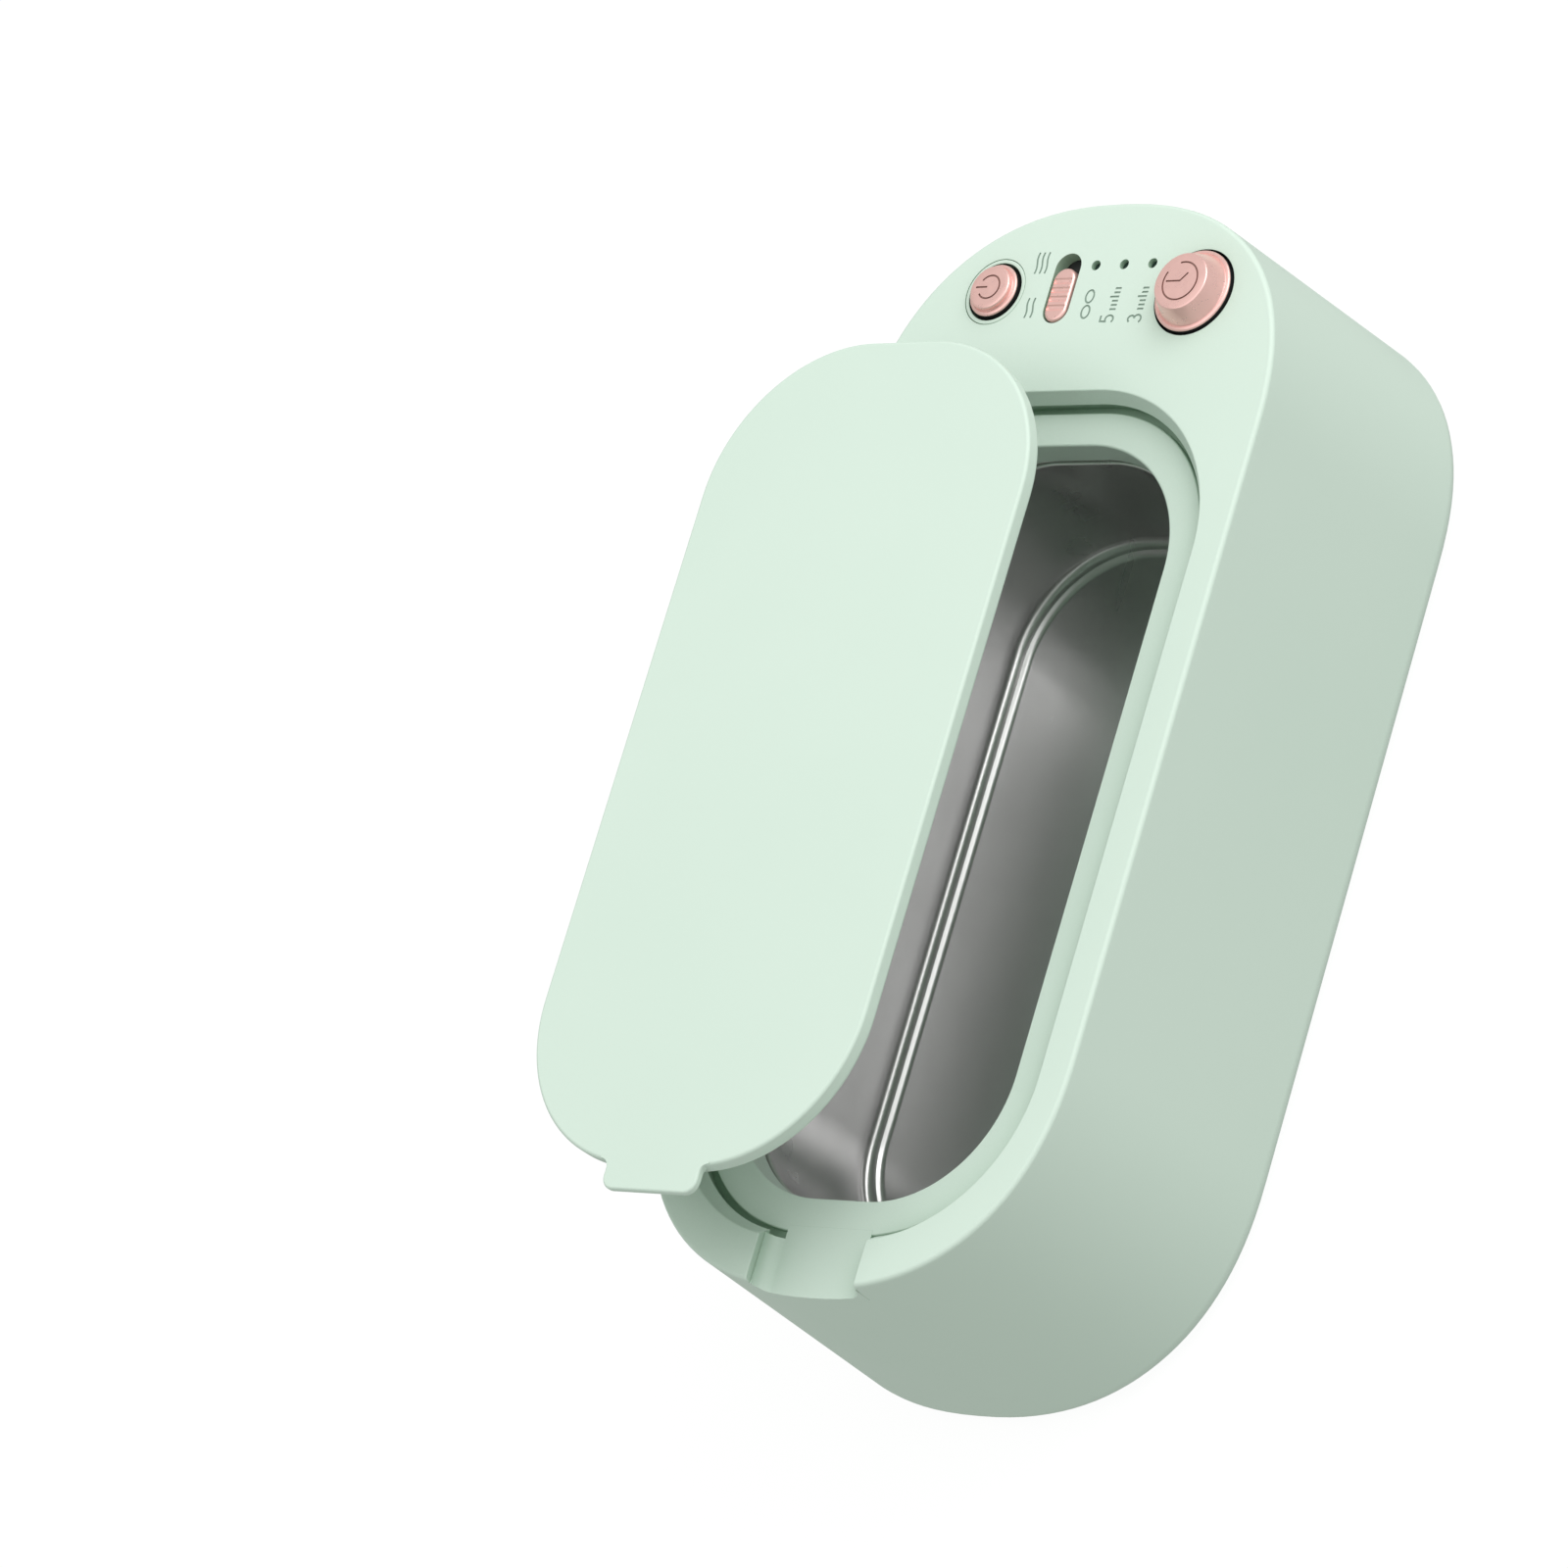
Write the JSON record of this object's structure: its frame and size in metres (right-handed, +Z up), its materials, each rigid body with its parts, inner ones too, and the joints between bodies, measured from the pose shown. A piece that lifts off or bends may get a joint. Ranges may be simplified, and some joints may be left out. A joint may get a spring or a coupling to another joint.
{
  "type": "ultrasonic cleaner",
  "caption": "Compact ultrasonic cleaner for jewellery and glasses, with a steel tank, a lift-off lid, two push buttons and a mode slider on an end panel.",
  "frame": {"origin": "middle of the housing's footprint, on the surface that the feet stand on", "axes": "+X across the width, +Y along the length towards the control panel, +Z up"},
  "size_m": [0.0971, 0.2044, 0.0805],
  "materials": {
    "mint": "fine matte moulded mint plastic",
    "mint_inside": "matte moulded mint plastic",
    "steel": "drawn stainless sheet, satin",
    "rose": "rose-gold plated plastic, satin",
    "rubber": "matte",
    "silicone": "satin silicone",
    "board": "solder-masked laminate",
    "black_plastic": "moulded",
    "ferrite": "sintered, dull",
    "copper": "enamelled winding",
    "aluminium": "pressed",
    "screw_steel": "plated",
    "ceramic": "fired piezo ceramic with silvered faces",
    "epoxy": "cured adhesive",
    "clear": "clear moulding",
    "lead_red": "insulated wire",
    "cable_grey": "flat ribbon cable"
  },
  "bodies": {
    "housing": {"housing": "mint", "base_cover": "mint_inside", "tank_trim": "mint", "tank": "steel", "tank_gasket": "silicone", "tank_clamp_1": "aluminium", "clamp_screw_1": "screw_steel", "tank_clamp_2": "aluminium", "clamp_screw_2": "screw_steel", "tank_clamp_3": "aluminium", "clamp_screw_3": "screw_steel", "tank_clamp_4": "aluminium", "clamp_screw_4": "screw_steel", "tank_clamp_5": "aluminium", "clamp_screw_5": "screw_steel", "tank_clamp_6": "aluminium", "clamp_screw_6": "screw_steel", "power_button_ring": "mint", "light_pipe_1": "clear", "led_1": "clear", "light_pipe_2": "clear", "led_2": "clear", "light_pipe_3": "clear", "led_3": "clear", "control_board": "board", "power_switch": "black_plastic", "timer_switch": "black_plastic", "mode_switch": "black_plastic", "control_screw_1": "screw_steel", "control_screw_2": "screw_steel", "control_screw_3": "screw_steel", "control_screw_4": "screw_steel", "main_board": "board", "transformer": "ferrite", "inductor": "copper", "capacitor": "black_plastic", "power_transistor": "black_plastic", "heat_sink": "aluminium", "power_inlet": "black_plastic", "board_screw_1": "screw_steel", "board_screw_2": "screw_steel", "board_screw_3": "screw_steel", "board_screw_4": "screw_steel", "piezo_disc": "ceramic", "piezo_bond": "epoxy", "disc_lead_1": "lead_red", "disc_lead_2": "black_plastic", "board_cable": "cable_grey", "foot_1": "rubber", "foot_2": "rubber", "foot_3": "rubber", "foot_4": "rubber", "base_screw_1": "screw_steel", "base_screw_2": "screw_steel", "base_screw_3": "screw_steel", "base_screw_4": "screw_steel"},
    "lid": {"lid": "mint"},
    "power_button": {"power_button": "rose"},
    "timer_button": {"timer_button": "rose"},
    "mode_slider": {"mode_slider": "rose"}
  },
  "joints": [
    {"name": "lid_lift", "type": "slide", "parent": "housing", "child": "lid", "axis": [-0.5445, 0, 0.8388], "range_m": [-0.02957, 0.04]},
    {"name": "power_button_press", "type": "slide", "parent": "housing", "child": "power_button", "axis": [0, 0, -1], "range_m": [0, 0.0008], "stiffness_N_per_m": 2500, "springref_m": -0.0003},
    {"name": "timer_button_press", "type": "slide", "parent": "housing", "child": "timer_button", "axis": [0, 0, -1], "range_m": [0, 0.0008], "stiffness_N_per_m": 2500, "springref_m": -0.0003},
    {"name": "mode_slide", "type": "slide", "parent": "housing", "child": "mode_slider", "axis": [0, 1, 0], "range_m": [0, 0.0026]}
  ]
}
